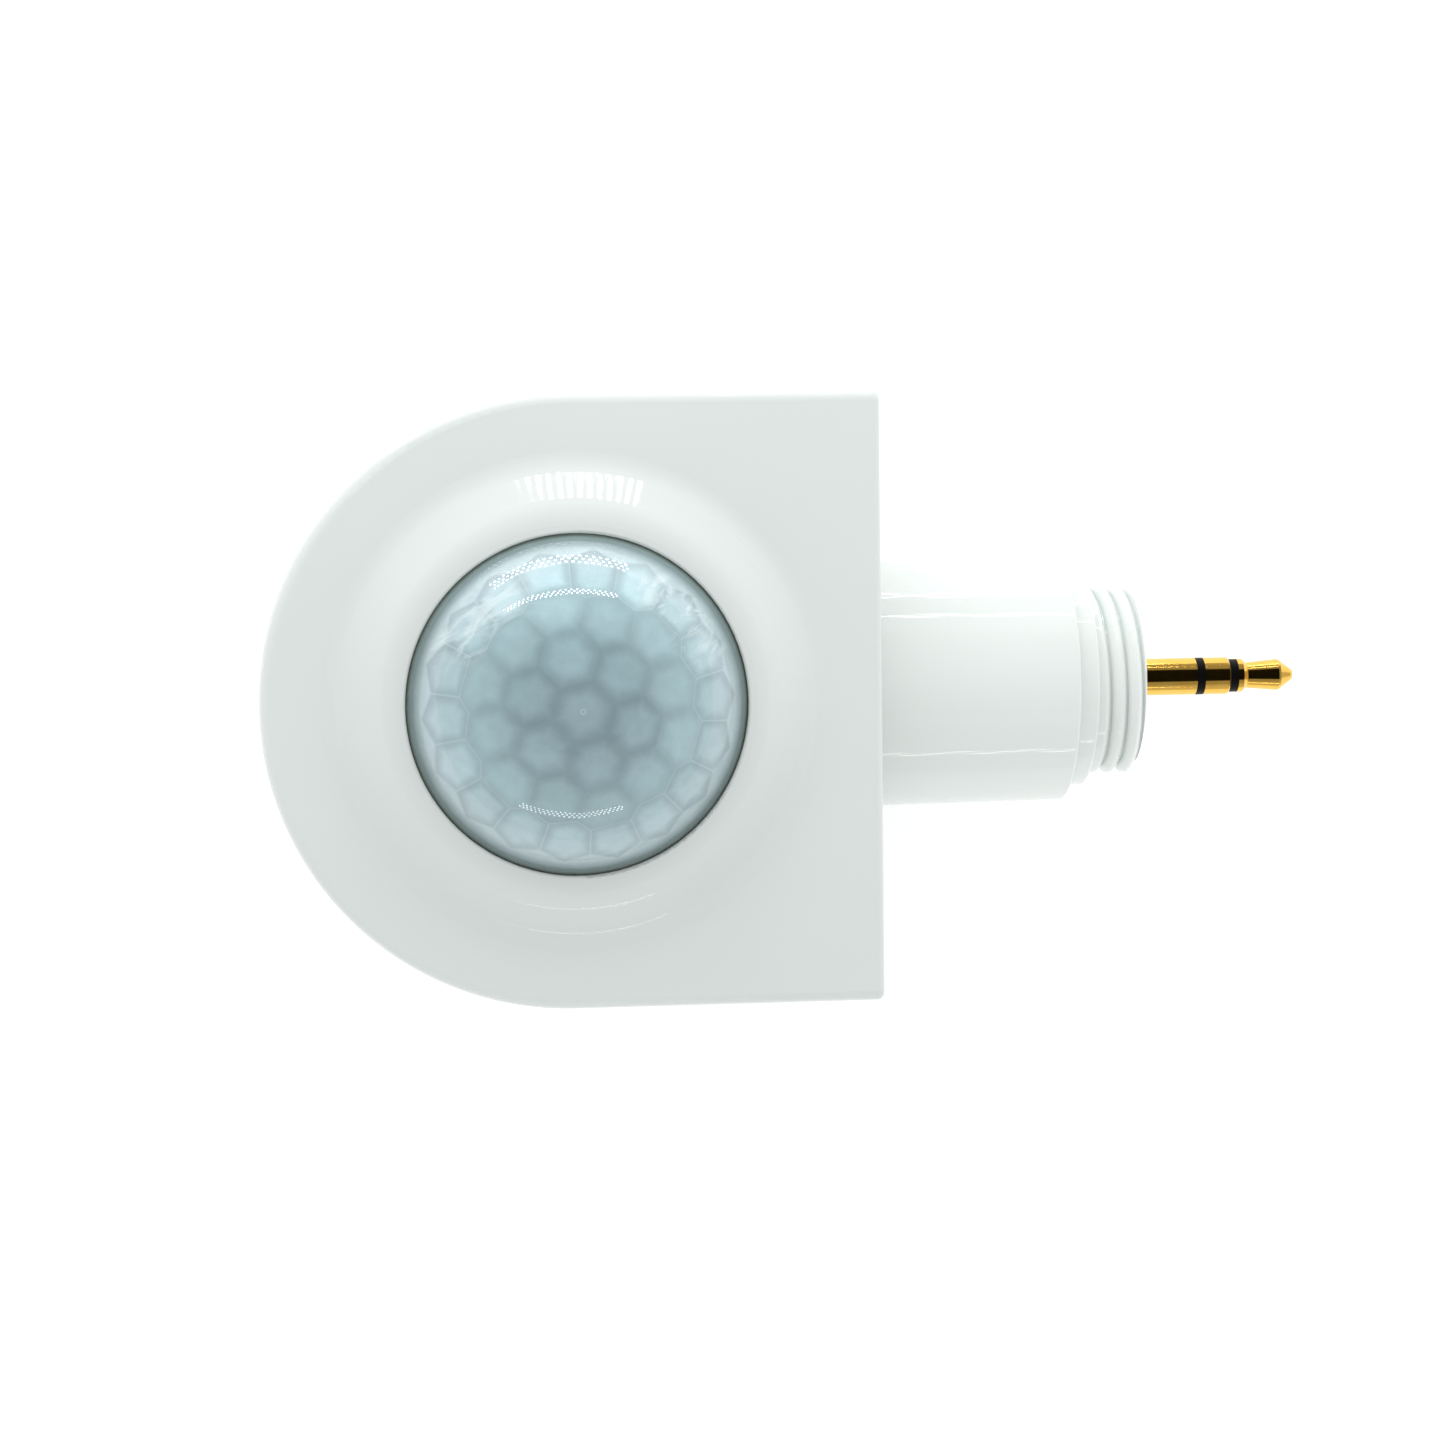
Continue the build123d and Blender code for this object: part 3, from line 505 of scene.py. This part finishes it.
def solder_mask():
    """Smooth green lacquer that stands a hair higher over the copper tracks."""
    track_module_mm = 6
    finish, tree = new_finish("green_solder_mask")
    place = add(tree, "ShaderNodeTexCoord").outputs["Object"]
    tracks = add(tree, "ShaderNodeTexBrick", {"offset": 0.37, "squash": 0.6, "squash_frequency": 3},
                 Vector=place, Scale=1 / (track_module_mm * mm), Mortar_Size=0.06, Mortar_Smooth=0.1,
                 Brick_Width=0.9, Row_Height=0.34, Color1=linear("#123d22"), Color2=linear("#17482a"),
                 Mortar=linear("#2c6a3d"))
    bump = add(tree, "ShaderNodeBump", Strength=0.3, Distance=0.035 * mm, Height=tracks.outputs["Fac"])
    shader = add(tree, "ShaderNodeBsdfPrincipled", Base_Color=tracks.outputs["Color"], IOR=1.5,
                 Roughness=0.28, Normal=bump.outputs["Normal"])
    add(tree, "ShaderNodeOutputMaterial", Surface=shader.outputs["BSDF"])
    return finish


give(solder_mask(), "main_board")


# Detector
# A nickel-plated steel can with a dark silicon window and three tinned leads.

give(bright_metal("nickel_plated_can", "#c9c5ba", 0.18, 0.9), "pir_can")
give(bright_metal("tinned_copper_lead", "#c6c6c2", 0.3, 0.3), "pir_leads")


def dark_moulding(name, colour, roughness, ior=1.5):
    """Filled epoxy, tinted resin, acetal or polished silicon: a dark base with a fine mottle."""
    filler_mm = 0.15
    finish, tree = new_finish(name)
    place = add(tree, "ShaderNodeTexCoord").outputs["Object"]
    filler = add(tree, "ShaderNodeTexNoise", Vector=place, Scale=1 / (filler_mm * mm), Detail=3.0)
    tone = add(tree, "ShaderNodeMix", {"data_type": "RGBA"}, Factor=filler.outputs["Fac"],
               i6=dimmed(colour, 0.8), i7=dimmed(colour, 1.25))
    bump = add(tree, "ShaderNodeBump", Strength=0.12, Distance=0.02 * mm, Height=filler.outputs["Fac"])
    shader = add(tree, "ShaderNodeBsdfPrincipled", Base_Color=tone.outputs[2], IOR=ior,
                 Roughness=roughness, Normal=bump.outputs["Normal"])
    add(tree, "ShaderNodeOutputMaterial", Surface=shader.outputs["BSDF"])
    return finish


give(dark_moulding("polished_silicon", "#2a2b30", 0.1, 1.8), "pir_window")


# Parts on the board
# Chips in matt black filled epoxy, a dark tinted receiver, a diffused red lamp, a clear photodiode, drawn
# aluminium capacitor cans and fired ceramic chips.

chip_epoxy = dark_moulding("filled_epoxy_chip", "#1b1b1c", 0.55)
give(chip_epoxy, "microcontroller", "amplifier_chip", "voltage_regulator")
give(dark_moulding("tinted_epoxy_receiver", "#1a1216", 0.18), "ir_receiver")
give(light_moulding("diffused_red_epoxy", "#c43a2c", 0.2), "status_led")
give(light_moulding("clear_epoxy_photodiode", "#c9c7a8", 0.12), "light_sensor")
give(bright_metal("drawn_aluminium_can", "#c9ccd0", 0.3, 1.2), "electrolytic_capacitors")
give(light_moulding("fired_ceramic_chip", "#9c7d5e", 0.45), "chip_components")


# Wires
# Three stranded wires in extruded PVC, red, white and black, from the board to the plug's tails. They belong
# to the head and lie along the stem's axis, and the stem turns round them.

def extruded_pvc(name, colour):
    """Half-gloss insulation, slightly uneven over the strands inside."""
    strand_mm = 0.35
    finish, tree = new_finish(name)
    place = add(tree, "ShaderNodeTexCoord").outputs["Object"]
    strand = add(tree, "ShaderNodeTexNoise", Vector=place, Scale=1 / (strand_mm * mm), Detail=2.0)
    tone = add(tree, "ShaderNodeMix", {"data_type": "RGBA"}, Factor=strand.outputs["Fac"], i6=linear(colour),
               i7=dimmed(colour, 0.8))
    bump = add(tree, "ShaderNodeBump", Strength=0.2, Distance=0.02 * mm, Height=strand.outputs["Fac"])
    shader = add(tree, "ShaderNodeBsdfPrincipled", Base_Color=tone.outputs[2], IOR=1.53, Roughness=0.35,
                 Normal=bump.outputs["Normal"])
    add(tree, "ShaderNodeOutputMaterial", Surface=shader.outputs["BSDF"])
    return finish


give(extruded_pvc("extruded_pvc_red", "#b3231c"), "wire_tip")
give(extruded_pvc("extruded_pvc_white", "#dddcd6"), "wire_ring")
give(extruded_pvc("extruded_pvc_black", "#1d1d1e"), "wire_sleeve")


# Stem
# Barrel, locating step and thread are one ABS moulding in the head's white, painted a shade lighter:
# painted light, for the barrel catching more light than the head. The neck behind the barrel turns in
# the head, and the insert that holds the plug is of the same ABS.

give(moulded_abs("moulded_abs_stem", "#e8eeeb", "#e3e9e6"), "threaded_stem", "plug_insert")


# O-ring, stop washer and spring clip
# Black nitrile rubber, and stamped stainless steel with a dull rolled surface.

give(soft_rubber("nitrile_rubber", "#1c1c1c"), "stem_o_ring")
give(bright_metal("stamped_stainless", "#b4b4b0", 0.3, 0.5), "stop_washer", "retaining_clip")


# Jack plug
# Turned brass under hard gold plate, with faint tool rings, between rings of black acetal. Black shrunk
# sleeving covers the tails behind it.

def gold_plate():
    """Warm, nearly mirror-bright metal. Its tool rings are drawn coarser than real ones, to show at all."""
    ring_mm = 2.2
    cloud_mm = 1.5
    finish, tree = new_finish("gold_plated_brass")
    place = add(tree, "ShaderNodeTexCoord").outputs["Object"]
    rings = add(tree, "ShaderNodeTexWave", {"wave_type": "BANDS", "bands_direction": "X"}, Vector=place,
                Scale=1 / (ring_mm * mm), Distortion=1.5, Detail=2.0, Detail_Scale=1.2)
    cloud = add(tree, "ShaderNodeTexNoise", Vector=place, Scale=1 / (cloud_mm * mm), Detail=5.0,
                Roughness=0.6)
    tone = add(tree, "ShaderNodeMix", {"data_type": "RGBA"}, Factor=cloud.outputs["Fac"],
               i6=linear("#fbcf6b"), i7=linear("#f0ba4e"))
    rough = add(tree, "ShaderNodeMapRange", Value=cloud.outputs["Fac"], To_Min=0.06, To_Max=0.11)
    bump = add(tree, "ShaderNodeBump", Strength=0.08, Distance=0.01 * mm, Height=rings.outputs["Fac"])
    shader = add(tree, "ShaderNodeBsdfPrincipled", Base_Color=tone.outputs[2], Metallic=1.0,
                 Roughness=rough.outputs["Result"], Normal=bump.outputs["Normal"])
    add(tree, "ShaderNodeOutputMaterial", Surface=shader.outputs["BSDF"])
    return finish


give(gold_plate(), "plug_sleeve", "plug_ring", "plug_tip")
give(dark_moulding("black_acetal", "#0a0a0a", 0.4, 1.22), "plug_insulator_rear", "plug_insulator_front")
give(dark_moulding("shrunk_polyolefin", "#191919", 0.5), "tail_sleeve")


# Floor
# A plain sheet of white paper just under the part. It glows slightly, which keeps it even, and it is clear
# from below, so that the back of the part can be seen.

def white_paper():
    """Matt white with the faintest drift of tone."""
    drift_mm = 60
    finish, tree = new_finish("pale_floor")
    place = add(tree, "ShaderNodeTexCoord").outputs["Object"]
    drift = add(tree, "ShaderNodeTexNoise", Vector=place, Scale=1 / (drift_mm * mm), Detail=2.0)
    tone = add(tree, "ShaderNodeMix", {"data_type": "RGBA"}, Factor=drift.outputs["Fac"],
               i6=linear("#fbfbfb"), i7=linear("#f8f8f8"))
    paper = add(tree, "ShaderNodeBsdfPrincipled", Base_Color=tone.outputs[2], Roughness=0.6,
                Emission_Color=(1, 1, 1, 1), Emission_Strength=0.3)
    clear = add(tree, "ShaderNodeBsdfTransparent")
    below = add(tree, "ShaderNodeNewGeometry").outputs["Backfacing"]
    shader = add(tree, "ShaderNodeMixShader", Fac=below, i1=paper.outputs[0], i2=clear.outputs[0])
    add(tree, "ShaderNodeOutputMaterial", Surface=shader.outputs[0])
    return finish


floor_half = 2.0
floor_z = cad_box[0].z - 0.02 * mm
square = ((-1, -1), (1, -1), (1, 1), (-1, 1))
floor_mesh = bpy.data.meshes.new("floor")
floor_corners = [(x * floor_half, y * floor_half, floor_z) for x, y in square]
floor_mesh.from_pydata(floor_corners, [], [(0, 1, 2, 3)])
floor = bpy.data.objects.new("floor", floor_mesh)
bpy.context.scene.collection.objects.link(floor)
floor.data.materials.append(white_paper())


# Lamps
# Three strips of small square lamps, two on the bright side and a weaker one opposite. They show only in
# reflections, as fine bright spots on the glossy surfaces, and light nothing themselves.

lamp_size = 5.2 * mm
lamps_in_row = 23
rows_in_strip = 3


def lamp_strip(name, start, end, across, strength):
    """Rows of lamps from start to end, every second row set half a space along, facing the lens."""
    strip = bmesh.new()
    start, end, across = Vector(start), Vector(end), Vector(across)
    toward_lens = (Vector((lens_x, 0, 0)) - (start + end) / 2).normalized()
    side = Vector((1, 0, 0))
    up = toward_lens.cross(side).normalized()
    for row in range(rows_in_strip):
        for i in range(lamps_in_row):
            spot = start.lerp(end, (i + 0.5 * (row % 2)) / lamps_in_row) + across * row
            corners = [spot + side * a * lamp_size / 2 + up * b * lamp_size / 2 for a, b in square]
            strip.faces.new([strip.verts.new(corner) for corner in corners])
    mesh = bpy.data.meshes.new(name)
    strip.to_mesh(mesh)
    strip.free()
    finish, tree = new_finish(name)
    glow = add(tree, "ShaderNodeEmission", Strength=strength)
    add(tree, "ShaderNodeOutputMaterial", Surface=glow.outputs[0])
    mesh.materials.append(finish)
    made = bpy.data.objects.new(name, mesh)
    bpy.context.scene.collection.objects.link(made)
    made.visible_diffuse = False
    made.visible_camera = False


lamp_strip("lamps_high", (-0.270, 0.300, 0.123), (0.090, 0.300, 0.123), (0, 0.006, 0.010), 17)
lamp_strip("lamps_low", (-0.210, 0.235, -0.008), (0.065, 0.235, -0.008), (0, 0.002, 0.010), 17)
lamp_strip("lamps_near", (-0.210, -0.300, 0.125), (0.090, -0.300, 0.125), (0, -0.006, 0.010), 7)


# Light tent
# Diffuse light comes from a soft sky, slightly dimmer overhead and brighter toward +Y. Reflections see a
# sky of their own: dark within about 37 degrees of overhead, and then brighter down to below the horizon.

bright_side_lean = 0.13
dark_patch_lean = radians(14.3)
world = bpy.data.worlds.new("light_tent")
bpy.context.scene.world = world
world.use_nodes = True
sky = world.node_tree
sky.nodes.clear()
toward = add(sky, "ShaderNodeTexCoord").outputs["Generated"]
heights = add(sky, "ShaderNodeSeparateXYZ", Vector=toward)
level = add(sky, "ShaderNodeMapRange", {"interpolation_type": "SMOOTHSTEP"}, Value=heights.outputs["Z"],
            From_Min=0.95, From_Max=0.35, To_Min=0.84, To_Max=1.06)
lean = add(sky, "ShaderNodeMath", {"operation": "MULTIPLY_ADD"}, i0=heights.outputs["Y"],
           i1=bright_side_lean, i2=1.0)
soft = add(sky, "ShaderNodeMath", {"operation": "MULTIPLY"}, i0=level.outputs["Result"], i1=lean.outputs[0])
tilt = add(sky, "ShaderNodeMath", {"operation": "ARCCOSINE"}, i0=heights.outputs["Z"])
shifted = add(sky, "ShaderNodeMath", {"operation": "MULTIPLY_ADD"}, i0=heights.outputs["Y"],
              i1=-dark_patch_lean, i2=tilt.outputs[0])
share = add(sky, "ShaderNodeMath", {"operation": "DIVIDE"}, i0=shifted.outputs[0], i1=pi)
seen = add(sky, "ShaderNodeValToRGB", Fac=share.outputs[0])
degrees_from_above = [
    (0.0, "#0e0e0e"), (36, "#101010"), (39.5, "#949494"), (46, "#a2a2a2"),
    (56, "#9a9a9a"), (72, "#c0c0c0"), (90, "#d2d2d2"), (115, "#f0f0f0"),
]
set_stops(seen, [(degrees / 180, colour) for degrees, colour in degrees_from_above])
ray = add(sky, "ShaderNodeLightPath").outputs["Is Glossy Ray"]
strength = add(sky, "ShaderNodeMix", {"data_type": "FLOAT"}, Factor=ray, i2=soft.outputs[0],
               i3=seen.outputs["Color"])
light = add(sky, "ShaderNodeBackground", Color=(1, 1, 1, 1), Strength=strength.outputs[0])
add(sky, "ShaderNodeOutputWorld", Surface=light.outputs[0])


# Side light
# A soft panel beside and above the lens on the +Y side, which brightens the walls and slopes that face it.
# It shows neither in reflections nor to the camera.

panel = bpy.data.lights.new("side_light", "AREA")
panel.shape = "RECTANGLE"
panel.size = 0.25
panel.size_y = 0.10
panel.energy = 0.105
side_lamp = bpy.data.objects.new("side_light", panel)
bpy.context.scene.collection.objects.link(side_lamp)
side_lamp.location = (lens_x, 0.15, 0.085)
panel_aim = Vector((lens_x, 0, 0.01)) - side_lamp.location
side_lamp.rotation_euler = panel_aim.to_track_quat("-Z", "Y").to_euler()
side_lamp.visible_glossy = False
side_lamp.visible_camera = False


# Camera
# About 0.3 m above the part, looking down on the lens from slightly to one side.

bpy.context.scene.view_settings.view_transform = "Standard"
camera_data = bpy.data.cameras.new("camera")
camera = bpy.data.objects.new("camera", camera_data)
bpy.context.scene.collection.objects.link(camera)
right = Vector((0.99478, -0.01293, 0.10128)).normalized()
back = Vector((-0.09997, 0.07811, 0.99192)).normalized()
up = back.cross(right)
flat_side_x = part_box("front_housing")[1].x
camera_x = flat_side_x - 44.165 * mm
camera_y = 21.447 * mm
camera_z = 316.305 * mm
camera.matrix_world = Matrix((
    (right.x, up.x, back.x, camera_x),
    (right.y, up.y, back.y, camera_y),
    (right.z, up.z, back.z, camera_z),
    (0, 0, 0, 1),
))
camera_data.sensor_width = 36.0
camera_data.lens = 85.28
camera_data.clip_start = 0.01
camera_data.clip_end = 20.0
bpy.context.scene.camera = camera
